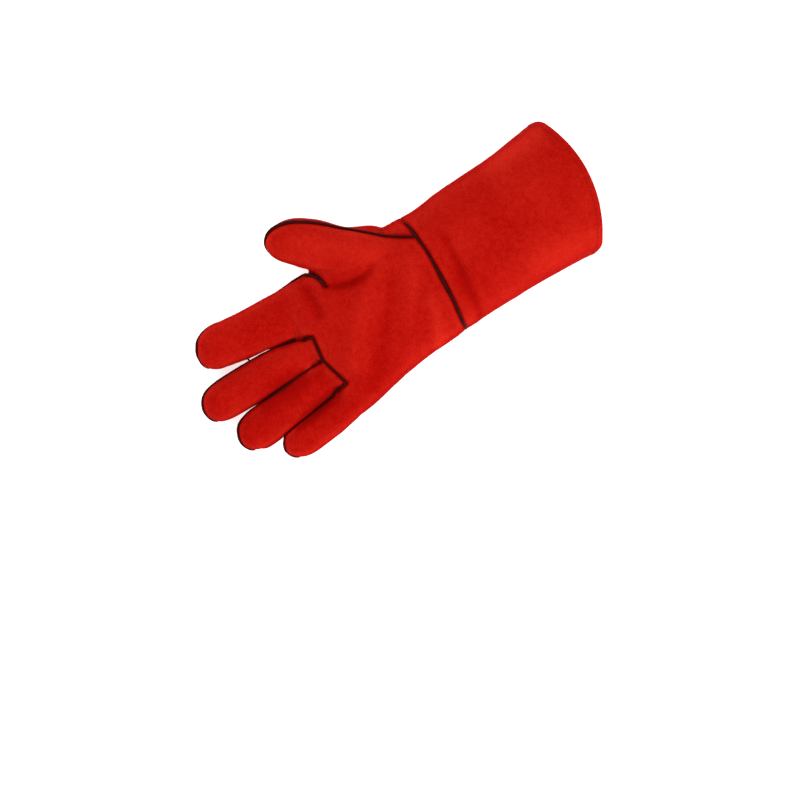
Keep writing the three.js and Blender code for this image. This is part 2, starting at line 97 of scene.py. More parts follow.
def smooth_curve(places, values):
    """Reads a row of values between its places, along a smooth curve through them."""
    order = np.argsort(places)
    at, value = np.array(places, float)[order], np.array(values, float)[order]
    slope = np.empty_like(value)
    slope[1:-1] = (value[2:] - value[:-2]) / (at[2:] - at[:-2])
    slope[0] = (value[1] - value[0]) / (at[1] - at[0])
    slope[-1] = (value[-1] - value[-2]) / (at[-1] - at[-2])

    def read(where):
        here = np.clip(where, at[0], at[-1])
        i = np.clip(np.searchsorted(at, here) - 1, 0, len(at) - 2)
        width = at[i + 1] - at[i]
        t = (here - at[i]) / width
        ends = (2 * t**3 - 3 * t**2 + 1) * value[i] + (3 * t**2 - 2 * t**3) * value[i + 1]
        return ends + width * ((t**3 - 2 * t**2 + t) * slope[i] + (t**3 - t**2) * slope[i + 1])

    return read


def line_y(line, x):
    """Height of a line in the plan at a distance along the glove."""
    points = sorted(line)
    return np.interp(x, [p[0] for p in points], [p[1] for p in points])


def signed_power(value, power):
    """A power that keeps the sign, as a superellipse needs."""
    return np.sign(value) * np.abs(value) ** power


class Tube:
    """A straight-axed tube with superellipse sections and a domed tip."""

    def __init__(self, base, heading, length, tip, rows, roundness):
        self.base, self.length, self.tip, self.roundness = base, length, tip, roundness
        turn = math.radians(heading)
        self.forward = (math.cos(turn), math.sin(turn))
        self.sideways = (math.sin(turn), -math.cos(turn))
        along, *columns = zip(*rows)
        self.columns = [smooth_curve(along, column) for column in columns]

    def section(self, along):
        """Middle, height of the middle, half width and half height of the tube at a distance along."""
        across, rise, half_width, half_height = (column(along) for column in self.columns)
        into = np.maximum(0, (along - (self.length - self.tip)) / self.tip)
        dome = np.maximum(0, 1 - into**DOME_ROUNDNESS) ** (1 / DOME_ROUNDNESS)
        return across, rise, half_width * dome, half_height * dome

    def place(self, along, across):
        """From along and across the tube to x and y."""
        x = self.base[0] + self.forward[0] * along + self.sideways[0] * across
        y = self.base[1] + self.forward[1] * along + self.sideways[1] * across
        return x, y

    def local(self, x, y):
        """From x and y to along and across the tube."""
        dx, dy = x - self.base[0], y - self.base[1]
        along = dx * self.forward[0] + dy * self.forward[1]
        return along, dx * self.sideways[0] + dy * self.sideways[1]

    def around(self, along, angle):
        """A point on the tube, from its distance along and its angle round from the thumb side."""
        across, rise, half_width, half_height = self.section(along)
        power = 2 / self.roundness
        x, y = self.place(along, across + half_width * signed_power(np.cos(angle), power))
        return x, y, rise + half_height * signed_power(np.sin(angle), power)

    def top(self, x, y):
        """Height of the upper surface over a place in the plan, or far below it outside the tube."""
        along, across = self.local(x, y)
        centre, rise, half_width, half_height = self.section(np.clip(along, 0, self.length))
        reach = np.clip(np.abs(across - centre) / np.maximum(half_width, 1e-6), 0, 1)
        height = rise + half_height * (1 - reach**self.roundness) ** (1 / self.roundness)
        inside = (along >= 0) & (along <= self.length) & (reach < 1)
        return np.where(inside, height, -1000)


hand_tube = Tube((CUFF_START, 0), 180, CUFF_START - KNUCKLE_X, 16, [
    (CUFF_START - x, (thumb + little) / 2, (height - SINK) / 2, (thumb - little) / 2, (height + SINK) / 2)
    for x, thumb, little, height in HAND_ROWS
], HAND_ROUNDNESS)
digit_tubes = {name: Tube(*form, FINGER_ROUNDNESS) for name, form in DIGITS.items()}
FINGERS = ("index", "middle", "ring", "little")
ABOVE = {"middle": INDEX_MIDDLE_LINE, "ring": MIDDLE_RING_LINE, "little": RING_LITTLE_LINE}
BELOW = {"index": INDEX_MIDDLE_LINE, "middle": MIDDLE_RING_LINE, "ring": RING_LITTLE_LINE}


def mesh_object(name, places, faces):
    """A mesh object from places in millimetres, in the glove's own frame."""
    mesh = bpy.data.meshes.new(name)
    mesh.from_pydata(((np.asarray(places) + GLOVE_SHIFT) * MM).tolist(), [], faces)
    mesh.update()
    piece = bpy.data.objects.new(name, mesh)
    bpy.context.scene.collection.objects.link(piece)
    return piece


def loft(name, tube):
    """A closed tube with even sections, pressed flat where the next finger touches it."""
    straight = np.arange(0, tube.length - tube.tip, LOFT_STEP)
    dome = tube.length - tube.tip + tube.tip * np.sin(np.linspace(0, DOME_END, DOME_RINGS))
    alongs = np.concatenate([straight, dome])
    angles = np.linspace(0, 2 * math.pi, LOFT_SIDES, endpoint=False)
    x, y, z = tube.around(alongs[:, None], angles[None, :])
    if name in ABOVE:
        y = np.minimum(y, line_y(ABOVE[name], x) - FINGER_GAP)
    if name in BELOW:
        y = np.maximum(y, line_y(BELOW[name], x) + FINGER_GAP)
    rings = np.stack([x, y, z], axis=-1)
    places = [*rings.reshape(-1, 3), rings[0].mean(axis=0), rings[-1].mean(axis=0)]
    faces = []
    for i in range(len(alongs) - 1):
        for k in range(LOFT_SIDES):
            a, b = i * LOFT_SIDES + k, i * LOFT_SIDES + (k + 1) % LOFT_SIDES
            faces.append((a, a + LOFT_SIDES, b + LOFT_SIDES, b))
    last = len(alongs) * LOFT_SIDES
    for k in range(LOFT_SIDES):
        after = (k + 1) % LOFT_SIDES
        faces.append((last, k, after))
        faces.append((last + 1, last - LOFT_SIDES + after, last - LOFT_SIDES + k))
    return mesh_object(name, places, faces)


tubes = [loft("hand", hand_tube)] + [loft(name, tube) for name, tube in digit_tubes.items()]
for tube in tubes:
    tube.select_set(True)
bpy.context.view_layer.objects.active = tubes[0]
bpy.ops.object.join()
skin = bpy.context.active_object
skin.name = "leather_skin"
skin.data.remesh_voxel_size = VOXEL * MM
bpy.ops.object.voxel_remesh()
relax = skin.modifiers.new("relax", "SMOOTH")
relax.factor = 0.5
relax.iterations = RELAX_PASSES
bpy.ops.object.modifier_apply(modifier="relax")
bpy.ops.object.select_all(action="DESELECT")

# Seams
# The palm, the two finger fronts, the thumb's back, the cuff and the back meet in sewn seams.
# The skin is cut along them, and sinks a little at each one, because the edges are turned in.
WRIST_SEAM = [
    (31.5, 60), (33.0, 34.5), (35.0, 26), (35.6, 17), (36.3, 1),
    (34.8, -23), (33.2, -42), (30.2, -63), (29, -90),
]
FINGER_BASE_SEAM = [(-74.8, -5.7), (-78, -25.7), (-71.5, -51.0)]
THUMB_SLIT = [(-45.0, 22.3), (-45.3, 27.0), (-46.3, 31.0), (-48.8, 35.0), (-52.5, 37.6)]
UNDER_THUMB_SEAM = [(-51.5, 37.5), (-20, 33.2), (60, 28.0)]
UNDER_THUMB = [*UNDER_THUMB_SEAM, (60, 120), (-120, 120), (-85, 62), (-53.5, 41.5)]  # round the thumb
THUMB_SEAM_OFFSETS = [  # along the thumb, and across it
    (-30, 22), (-14.5, 20.1), (-5, 18.5), (5, 17.3), (14, 16.9), (30, 17.2), (110, 17.2),
]
THUMB_SEAM_SLOPE, THUMB_SEAM_RISE, THUMB_SEAM_HEIGHT = 0.52, 0.13, 23.5
SIDE_SEAM = [(-185, 9), (-150, 9), (-118, 8), (-88, 8.5), (-50, 13), (30, 14), (185, 19)]  # x, height
TIP_SEAM_LIFT, TIP_SEAM_REACH, TIP_SEAM_RAMP = 9.5, 16, 20  # the seam rises round each fingertip
TIP_CURL_X, TIP_CURL = -118, 0.09  # and with the curl of the fingers, beyond this place
TIP_SEAM_OFFSET, THUMBWARD_LIFT = 5.0, 3.0  # the seam shows more on each finger's thumb side
THUMBWARD_EDGE, THUMBWARD_START, THUMBWARD_RAMP = 4, 6, 12
CROTCH_SEAM_LIFT, CROTCH_SEAM_X = 7.5, -56  # the index finger's seam is higher beside the thumb
CROTCH_SEAM_WIDTH, CROTCH_SEAM_EDGE = 17, 5
RIM_CENTRE, RIM_RADIUS = (69.6, -3.4), 105.8
RIM_CORNER_RADIUS = (8, 6)  # on the thumb side and on the little-finger side
SNAP = 0.12  # a vertex this near to a cut is taken to lie on it
UNCUT = 1e6  # stands for the distance of a vertex that a cut leaves out
PRESS_START, PRESS_RAMP = 14, 8  # the fingers are pressed together from just behind where they part
PRESS_CORE, PRESS_EDGE, PRESS_FADE = FINGER_GAP - 0.6, FINGER_GAP + 1.6, 1.2
FINE_BESIDE_SEAM = 3.2  # the mesh is twice as fine this near to a seam

side_seam_level = smooth_curve(*zip(*SIDE_SEAM))
thumb_seam_offset = smooth_curve(*zip(*THUMB_SEAM_OFFSETS))
wrist_seam_x = smooth_curve([y for x, y in WRIST_SEAM], [x for x, y in WRIST_SEAM])


def side_seam_height(x, y):
    """Height of the seam between the front and the back, at a place in the plan."""
    across = np.stack([digit_tubes[name].local(x, y)[1] for name in FINGERS])
    across = np.take_along_axis(across, np.argmin(np.abs(across), axis=0)[None], axis=0)[0]
    reach = np.minimum(1, np.abs(across - TIP_SEAM_OFFSET) / TIP_SEAM_REACH)
    lift = np.clip((KNUCKLE_X - x) / TIP_SEAM_RAMP, 0, 1) * TIP_SEAM_LIFT * (1 - reach**2) ** 2
    on_index = y > line_y(INDEX_MIDDLE_LINE, x)
    thumbward_from = np.where(on_index, TIP_CURL_X, KNUCKLE_X) - THUMBWARD_START
    thumbward = THUMBWARD_LIFT * np.clip((across + THUMBWARD_EDGE) / THUMBWARD_RAMP, 0, 1)
    thumbward *= np.clip((thumbward_from - x) / THUMBWARD_RAMP, 0, 1)
    curl = np.maximum(0, TIP_CURL_X - x) * TIP_CURL
    from_crotch = (x - CROTCH_SEAM_X) / CROTCH_SEAM_WIDTH
    crotch = CROTCH_SEAM_LIFT * np.exp(-(from_crotch**2)) * (y > CROTCH_SEAM_EDGE)
    return side_seam_level(x) + crotch + np.where(x > KNUCKLE_X, 0, lift + curl + thumbward)


def thumb_seam_height(x, y):
    """Height of the seam that runs round the thumb, at a place in the plan."""
    along, across = digit_tubes["thumb"].local(x, y)
    return THUMB_SEAM_HEIGHT + THUMB_SEAM_RISE * along + THUMB_SEAM_SLOPE * across


def from_segment(start, end, x, y):
    """Distance from a straight line between two places, and how far along it the nearest point is."""
    dx, dy = end[0] - start[0], end[1] - start[1]
    t = np.clip(((x - start[0]) * dx + (y - start[1]) * dy) / (dx * dx + dy * dy), 0, 1)
    return np.hypot(x - start[0] - t * dx, y - start[1] - t * dy), t


def inside_outline(outline, x, y):
    """Distance from an outline in the plan, positive inside it."""
    nearest = np.full(np.shape(x), np.inf)
    inside = np.zeros(np.shape(x), bool)
    for start, end in zip(outline, outline[1:] + outline[:1]):
        nearest = np.minimum(nearest, from_segment(start, end, x, y)[0])
        crosses = (start[1] > y) != (end[1] > y)
        dx, dy = end[0] - start[0], end[1] - start[1]
        inside ^= crosses & (x < start[0] + (y - start[1]) * dx / (dy if dy else 1e-9))
    return np.where(inside, nearest, -nearest)


# Each of the next functions is a distance that is positive on one side of a seam and zero on it.
def on_palm_side(x, y, z):
    return z - side_seam_height(x, y)


def past_the_wrist(x, y, z):
    return x - wrist_seam_x(y)


def in_thumb_back(x, y, z):
    under = inside_outline(UNDER_THUMB, x, y)
    below = (thumb_seam_height(x, y) - z) / math.hypot(1, THUMB_SEAM_SLOPE)
    along, across = digit_tubes["thumb"].local(x, y)
    outside = across - thumb_seam_offset(along)
    front = on_palm_side(x, y, z)
    parts = [np.minimum(under, below), np.minimum(outside, front), np.minimum(outside, under)]
    return np.max(parts, axis=0)


def in_finger_front(upper, lower):
    outline = upper + lower[::-1]
    return lambda x, y, z: inside_outline(outline, x, y)


in_middle_front = in_finger_front(INDEX_MIDDLE_LINE, MIDDLE_RING_LINE)
in_ring_front = in_finger_front(MIDDLE_RING_LINE, RING_LITTLE_LINE)


def inside_the_rim(x, y, z):
    rim = RIM_RADIUS - np.hypot(x - RIM_CENTRE[0], y - RIM_CENTRE[1])
    across, _, half_width, _ = hand_tube.section(CUFF_START - x)
    for edge, radius in zip((across + half_width - y, y - across + half_width), RIM_CORNER_RADIUS):
        corner = radius - np.hypot(radius - edge, radius - rim)
        rim = np.where((edge < radius) & (rim < radius), np.minimum(rim, corner), rim)
    return np.where(x > RIM_CENTRE[0], rim, RIM_RADIUS)


def places_of(items):
    """Places in millimetres, in the glove's own frame."""
    return np.array([item[:] for item in items], float) / MM - GLOVE_SHIFT


def vertex_places(vertices):
    return places_of([vertex.co for vertex in vertices])


def face_centres(faces):
    return places_of([face.calc_center_median() for face in faces])


def split_face(face, layer):
    """Splits a face between two corners on the cut, if its other corners lie on both sides of it."""
    corners = list(face.verts)
    on_cut = [i for i, vertex in enumerate(corners) if vertex[layer] == 0]
    for first, second in itertools.combinations(on_cut, 2):
        one = [corners[k][layer] for k in range(first + 1, second)]
        other = [corners[k % len(corners)][layer] for k in range(second + 1, first + len(corners))]
        if not any(one) or not any(other):
            continue
        if min(one) >= 0 >= max(other) or max(one) <= 0 <= min(other):
            bmesh.utils.face_split(face, corners[first], corners[second])
            return


def cut_along(skin_mesh, distance, near=None):
    """Cuts the faces along the line where a distance changes sign, as a knife would."""
    skin_mesh.verts.ensure_lookup_table()
    places = vertex_places(skin_mesh.verts)
    values = distance(*places.T)
    values[np.abs(values) < SNAP] = 0
    if near is not None:
        values[~near(*places.T)] = UNCUT
    layer = skin_mesh.verts.layers.float.new("cut")
    for vertex, value in zip(skin_mesh.verts, values):
        vertex[layer] = value
    for edge in list(skin_mesh.edges):
        a, b = edge.verts
        value_a, value_b = a[layer], b[layer]
        if value_a * value_b < 0 and UNCUT not in (value_a, value_b):
            _, middle = bmesh.utils.edge_split(edge, a, value_a / (value_a - value_b))
            middle[layer] = 0
    for face in list(skin_mesh.faces):
        split_face(face, layer)
    skin_mesh.verts.layers.float.remove(layer)


def side_reach(name, side, x, z):
    """How far a finger reaches sideways in the plan, at a place along it and a height."""
    tube = digit_tubes[name]
    along = (x - tube.base[0]) / tube.forward[0]
    centre, rise, half_width, half_height = tube.section(np.clip(along, 0, tube.length))
    high = np.clip(np.abs(z - rise) / np.maximum(half_height, 0.1), 0, 1)
    across = centre + side * half_width * (1 - high**tube.roundness) ** (1 / tube.roundness)
    return tube.base[1] + tube.forward[1] * along + tube.sideways[1] * across


def pressed_together(places):
    """Brings neighbouring fingers back against each other, as they lie in use."""
    x, y, z = places.T
    for upper, lower in zip(FINGERS, FINGERS[1:]):
        line = line_y(BELOW[upper], x)
        away = y - line
        distance = np.abs(away)
        above, below = side_reach(upper, -1, x, z) - line, line - side_reach(lower, 1, x, z)
        own = np.where(away > 0, above, below)
        closed = np.clip(own, TOUCHING_GAP, np.maximum(distance, TOUCHING_GAP))
        pressed = np.where(distance < PRESS_CORE, distance * TOUCHING_GAP / FINGER_GAP, closed)
        along_weight = np.clip((KNUCKLE_X + PRESS_START - x) / PRESS_RAMP, 0, 1)
        near_weight = np.clip((PRESS_EDGE - distance) / PRESS_FADE, 0, 1)
        y = y + along_weight * near_weight * np.sign(away) * (pressed - distance)
    return np.stack([x, y, z], axis=1)


skin_mesh = bmesh.new()
skin_mesh.from_mesh(skin.data)
for vertex, place in zip(skin_mesh.verts, pressed_together(vertex_places(skin_mesh.verts))):
    vertex.co = (place + GLOVE_SHIFT) * MM
cut_along(skin_mesh, inside_the_rim)
rim_distances = inside_the_rim(*face_centres(skin_mesh.faces).T)
beyond = [face for face, value in zip(skin_mesh.faces, rim_distances) if value < 0]
bmesh.ops.delete(skin_mesh, geom=beyond, context="FACES")
# Each cut is kept to the side of the glove that its seam lies on, with a little to spare.
cut_along(skin_mesh, on_palm_side)
cut_along(skin_mesh, in_thumb_back, lambda x, y, z: past_the_wrist(x, y, z) < 4)
cut_along(skin_mesh, past_the_wrist, lambda x, y, z: (on_palm_side(x, y, z) > -3) | (y > 20))
for in_front in (in_middle_front, in_ring_front):
    cut_along(skin_mesh, in_front, lambda x, y, z: (on_palm_side(x, y, z) > -2) & (x < -60))

PANELS = (
    "back_panel", "palm_panel", "middle_finger_front", "ring_finger_front", "thumb_back", "cuff_front",
)
BACK, PALM, MIDDLE_FRONT, RING_FRONT, THUMB_BACK, CUFF_FRONT = range(len(PANELS))


def panel_numbers(faces):
    """Which panel each face belongs to, as its number in PANELS."""
    centres = face_centres(faces).T
    cuff, front = past_the_wrist(*centres) > 0, on_palm_side(*centres) > 0
    numbers = np.where(front, np.where(cuff, CUFF_FRONT, PALM), BACK)
    numbers[front & ~cuff & (in_middle_front(*centres) > 0)] = MIDDLE_FRONT
    numbers[front & ~cuff & (in_ring_front(*centres) > 0)] = RING_FRONT
    numbers[(in_thumb_back(*centres) > 0) & ~cuff] = THUMB_BACK
    return numbers


def tree_of(places):
    tree = KDTree(len(places))
    for i, place in enumerate(places):
        tree.insert(Vector(place), i)
    tree.balance()
    return tree


def seam_vertices(skin_mesh, labels):
    """Vertices on the edges where one panel meets another."""
    skin_mesh.faces.index_update()
    on_seam = {}
    for edge in skin_mesh.edges:
        if len({labels[face.index] for face in edge.link_faces}) == 2:
            on_seam.update((vertex, None) for vertex in edge.verts)
    return list(on_seam)


labels = panel_numbers(skin_mesh.faces)
rough_tree = tree_of(vertex_places(seam_vertices(skin_mesh, labels)))
beside = {
    vertex for vertex, place in zip(skin_mesh.verts, vertex_places(skin_mesh.verts))
    if rough_tree.find(Vector(place))[2] < FINE_BESIDE_SEAM
}
close = [edge for edge in skin_mesh.edges if edge.verts[0] in beside and edge.verts[1] in beside]
bmesh.ops.subdivide_edges(skin_mesh, edges=close, cuts=1, use_grid_fill=True)
labels = panel_numbers(skin_mesh.faces)
sewn = vertex_places(seam_vertices(skin_mesh, labels))
skin_mesh.verts.index_update()
skin_mesh.normal_update()
flat_places = vertex_places(skin_mesh.verts)
flat_normals = np.array([vertex.normal[:] for vertex in skin_mesh.verts])
skin_faces = [[vertex.index for vertex in face.verts] for face in skin_mesh.faces]
flat_tree = BVHTree.FromPolygons(flat_places.tolist(), skin_faces)
skin_mesh.free()
bpy.data.objects.remove(skin)


def lengths_along(points):
    """How far along a line each of its points is."""
    return np.concatenate([[0], np.cumsum(np.linalg.norm(np.diff(points, axis=0), axis=1))])


def resampled(points, spacing):
    """A line through the points with even steps."""
    points = np.array(points, float)
    reach = lengths_along(points)
    count = max(2, int(round(reach[-1] / spacing)) + 1)
    at = np.linspace(0, reach[-1], count)
    return np.stack([np.interp(at, reach, points[:, k]) for k in range(points.shape[1])], axis=1)


def over_surface(line):
    """Points along a line in the plan, laid on the upper surface."""
    x, y = resampled(line, 1.5).T
    z = np.max([tube.top(x, y) for tube in [hand_tube, *digit_tubes.values()]], axis=0)
    return np.stack([x, y, z], axis=1)


slit_line = over_surface(THUMB_SLIT)
seam_tree = tree_of([*sewn, *slit_line])
from_seam = np.array([seam_tree.find(Vector(place))[2] for place in flat_places])

# Wear, and painted light and shade
# A worn glove keeps the shape of the hand: creases where the thumb and wrist bend, and soft lumps
# elsewhere. Its colour is painted darker in the creases, between the fingers and where it turns under, as
# painted shade, and paler on ridges, along edges and beside seams, as painted light.
SEAM_ROLL = 2.0  # radius of the turned-in edges
PIPING_END_Y = 29.5  # beyond the wrist piping's end the seam is flat
UNPIPED_TIPS = [(-154.4, -57.0), (-170.3, -24.0)]  # on the ring and middle fingers no bead shows here
UNPIPED_TIP_SIZE = 9.0
UNPIPED_FLATNESS = 0.7  # how much less the leather draws in where there is no bead
PANEL_CROWN, PANEL_WIDTH = 0.9, 8.0  # each panel swells away from its seams
HEM, HEM_DEPTH, HEM_WIDTH = 4.2, 0.5, 1.5  # the stitched hem, from the cuff's edge
SOFT_LUMPS = ((0.55, 27), (0.22, 9))  # height and size of the soft lumps of the filled glove
FOLDS = [  # height, half width, how much lighter the colour is painted (painted light on ridges; negative is painted shade in creases and between the fingers), and the line in the plan
    # Creases round the thumb's root and across the root of the index finger.
    (-3.4, 3.0, -0.16, [(-46.5, 28.0), (-45.2, 23.5), (-39.5, 19.1), (-28.5, 14.2), (-16.0, 12.1),
                        (-10.0, 13.5), (-4.0, 17.5)]),
    (-2.8, 4.5, -0.18, [(-58.8, 37.0), (-59.8, 28.1), (-60.7, 18.0), (-61.6, 9.0), (-62.0, 2.0)]),
    # Slack leather across the palm, and at the heel of the hand.
    (2.0, 8.0, 0.05, [(12.4, 32.5), (6.4, 27.5), (-16.3, 5.0), (-34.1, -11.4), (-61.7, -40.1),
                      (-66, -46)]),
    (-1.6, 5.5, -0.07, [(8.7, 7.5), (3.7, 1.5), (-13.6, -19.8), (-39.1, -45.3), (-55.6, -62.5),
                        (-60, -67)]),
    (1.6, 6.0, 0.17, [(22.5, -24.7), (19.5, -31.7), (14.4, -47.0), (6.7, -60.5), (3.0, -66.0)]),
    (1.0, 4.5, 0.07, [(25.3, 8.7), (22.3, 1.7), (13.9, -14.3), (0.8, -29.1), (-6.0, -36.0)]),
    # The cuff's crease above the wrist seam, and its soft ridges.
    (-2.1, 3.6, -0.17, [(54.2, 9.3), (53.2, 2.3), (50.6, -16.3), (47.4, -40.2), (44.8, -61.7),
                        (44.0, -69.0)]),
    (1.4, 9.0, 0.12, [(93.2, -50.9), (103.2, -49.9), (125.9, -50.5), (150.7, -55.2), (160.0, -57.0)]),
    (0.9, 8.0, 0.13, [(107.5, 30.7), (117.5, 30.7), (140.3, 30.1), (155.2, 31.7), (164.0, 32.5)]),
    (-1.1, 12.0, -0.05, [(99.2, 27.5), (97.2, 20.5), (93.6, -14.2), (88.5, -29.4), (86.0, -36.0)]),
    # Colour only: paler along the thumb, painted shade in the seams between the fingers, and darker along
    # the outer ones.
    (0.0, 9.0, 0.11, [(8.0, 14.0), (0.0, 24.0), (-22.0, 44.0), (-44.0, 64.0), (-52.0, 72.0)]),
    (0.0, 6.0, -0.12, [(-138, -22), (-124, -22), (-104, -22), (-94, -22)]),
    (0.0, 6.0, -0.12, [(-138, -33), (-122.3, -33), (-104, -33), (-94, -32)]),
    (0.0, 2.6, -0.40, [(-92, -26.0), (-100, -25.6), (-110, -26.9), (-121, -27.6), (-140, -27.6)]),
    (0.0, 4.4, -0.56, [(-76, -51.5), (-88, -53.4), (-100, -55.4), (-110, -57.0), (-126, -59.0)]),
    (0.0, 2.2, -0.28, [(-76, -5.3), (-88, -1.9), (-100, 1.5), (-112, 4.9)]),
    (0.0, 14.0, -0.06, [(-62, 18), (-90, 22), (-130, 27), (-156, 30)]),
    (0.0, 12.0, -0.06, [(-60, -38), (-90, -40), (-130, -43), (-164, -46)]),
    (0.0, 12.0, -0.08, [(8, -42), (-30, -56), (-70, -66), (-110, -70), (-138, -73)]),
]
EDGE_SHADE, PAINTED_SHEEN_BAND = 0.24, 0.09  # painted shade where the leather turns under, and a painted sheen just above
SHADE_TURN, SHEEN_TURN = (0.25, 0.22), (0.72, 0.15)  # how far the leather faces up there, and the spread
SEAM_HIGHLIGHT_PLACE = (4.5, 2)  # a fainter painted highlight, on the rolled edge, runs this far from each seam
CUFF_SHEEN_LOSS, CUFF_FADE = 0.6, (10, 30)  # the painted sheen band loses this much towards the wide cuff


def bell(distance):
    return np.exp(-(distance**2))


def distance_and_reach(line, x, y):
    """Distance from a line in the plan, and how far along it the nearest point is, from 0 to 1."""
    nearest, reach = np.full(np.shape(x), np.inf), np.zeros(np.shape(x))
    for i, (start, end) in enumerate(zip(line, line[1:])):
        distance, t = from_segment(start, end, x, y)
        reach = np.where(distance < nearest, (i + t) / (len(line) - 1), reach)
        nearest = np.minimum(nearest, distance)
    return nearest, reach


x, y, z = flat_places.T
upward = flat_normals[:, 2]
facing_up = np.clip(upward * 1.5, 0, 1)
into_roll = np.clip(1 - from_seam / SEAM_ROLL, 0, 1)
unpiped = np.clip((y - PIPING_END_Y) / 4, 0, 1) * (x > 25)
for tip_x, tip_y in UNPIPED_TIPS:
    unpiped = np.maximum(unpiped, bell(np.hypot(x - tip_x, y - tip_y) / UNPIPED_TIP_SIZE))
# How far each vertex moves out along its normal, and how much paler or darker its colour is painted,
# mostly as painted light and shade.
shift = -SEAM_ROLL * (1 - np.sqrt(1 - into_roll**2)) * (1 - UNPIPED_FLATNESS * unpiped)
shift -= PANEL_CROWN * bell(from_seam / PANEL_WIDTH) * (1 - UNPIPED_FLATNESS * unpiped)
shift -= HEM_DEPTH * bell((inside_the_rim(x, y, z) - HEM) / HEM_WIDTH)
painted_shading_and_tone = np.zeros_like(x)
for height, half_width, painted_lightness, line in FOLDS:
    distance, reach = distance_and_reach(line, x, y)
    strength = bell(distance / half_width) * np.sqrt(np.sin(math.pi * np.clip(reach, 0.001, 0.999)))
    shift += height * strength * facing_up
    # Painted shade in the creases and between the fingers, and painted light on the ridges.
    painted_shading_and_tone += painted_lightness * strength * np.clip(upward * 4, 0, 1)
# Painted by how far the leather faces up: painted shade where it turns under, and a painted sheen band
# just above it.
painted_sheen_here = PAINTED_SHEEN_BAND * (1 - CUFF_SHEEN_LOSS * np.clip((x - CUFF_FADE[0]) / CUFF_FADE[1], 0, 1))
painted_sheen = painted_sheen_here * bell((upward - SHEEN_TURN[0]) / SHEEN_TURN[1])
painted_edge_shade = EDGE_SHADE * bell((upward - SHADE_TURN[0]) / SHADE_TURN[1])
painted_shading_and_tone += painted_sheen - painted_edge_shade
# A fainter painted highlight along the rolled edge beside each seam.
painted_shading_and_tone += 0.5 * PAINTED_SHEEN_BAND * bell((from_seam - SEAM_HIGHLIGHT_PLACE[0]) / SEAM_HIGHLIGHT_PLACE[1])
shift += np.array([
    sum(height * noise.noise(Vector(place) / size) for height, size in SOFT_LUMPS)
    for place in flat_places
])
# Between two fingers nothing moves, so that they don't run into each other.
lane = np.min([np.abs(y - line_y(BELOW[name], x)) for name in FINGERS[:3]], axis=0)
shift *= np.where(x < KNUCKLE_X + 6, np.clip((lane - TOUCHING_GAP) / 4, 0, 1), 1)
worn_places = flat_places + flat_normals * shift[:, None]
above_floor = worn_places[:, 2]
worn_places[:, 2] = (above_floor + np.sqrt(above_floor**2 + FLOOR_SOFTNESS**2)) / 2

# Split cowhide
# Soft, thick red leather split from the inner hide: both faces are brushed to a short, dull nap.
# The nap shows as fine fibre, as cloudy patches where it lies another way, and as a pale sheen
# at the edges. Painted shade and painted light carried by the vertices, and painted shade beside the
# seams, are added to its colour.
WALL = 2.0  # how thick the leather is
NEAR_SEAM, SEAM_SHADE_AND_DUST = (0.3, 3.2), (0.60, 0.86)  # painted shade, with some dust, darkens the leather where it turns in to a seam


def linear(hex_colour):
    """An sRGB hex colour as linear red, green, blue and alpha."""
    parts = [int(hex_colour[i:i + 2], 16) / 255 for i in (1, 3, 5)]
    return [p / 12.92 if p <= 0.04045 else ((p + 0.055) / 1.055) ** 2.4 for p in parts] + [1.0]


def new_material(name, roughness, specular):
    """A material and its shader."""
    material = bpy.data.materials.new(name)
    material.use_nodes = True
    shader = material.node_tree.nodes["Principled BSDF"]
    shader.inputs["Roughness"].default_value = roughness
    shader.inputs["Specular IOR Level"].default_value = specular
    return material, shader


def add_node(material, kind, settings=None, links=None, **inputs):
    """Adds a node with its settings, its fixed inputs, and its links from input name to output."""
    node = material.node_tree.nodes.new(kind)
    for key, value in (settings or {}).items():
        setattr(node, key, value)
    for key, value in inputs.items():
        node.inputs[key.replace("_", " ")].default_value = value
    for key, socket in (links or {}).items():
        material.node_tree.links.new(socket, node.inputs[key])
    return node


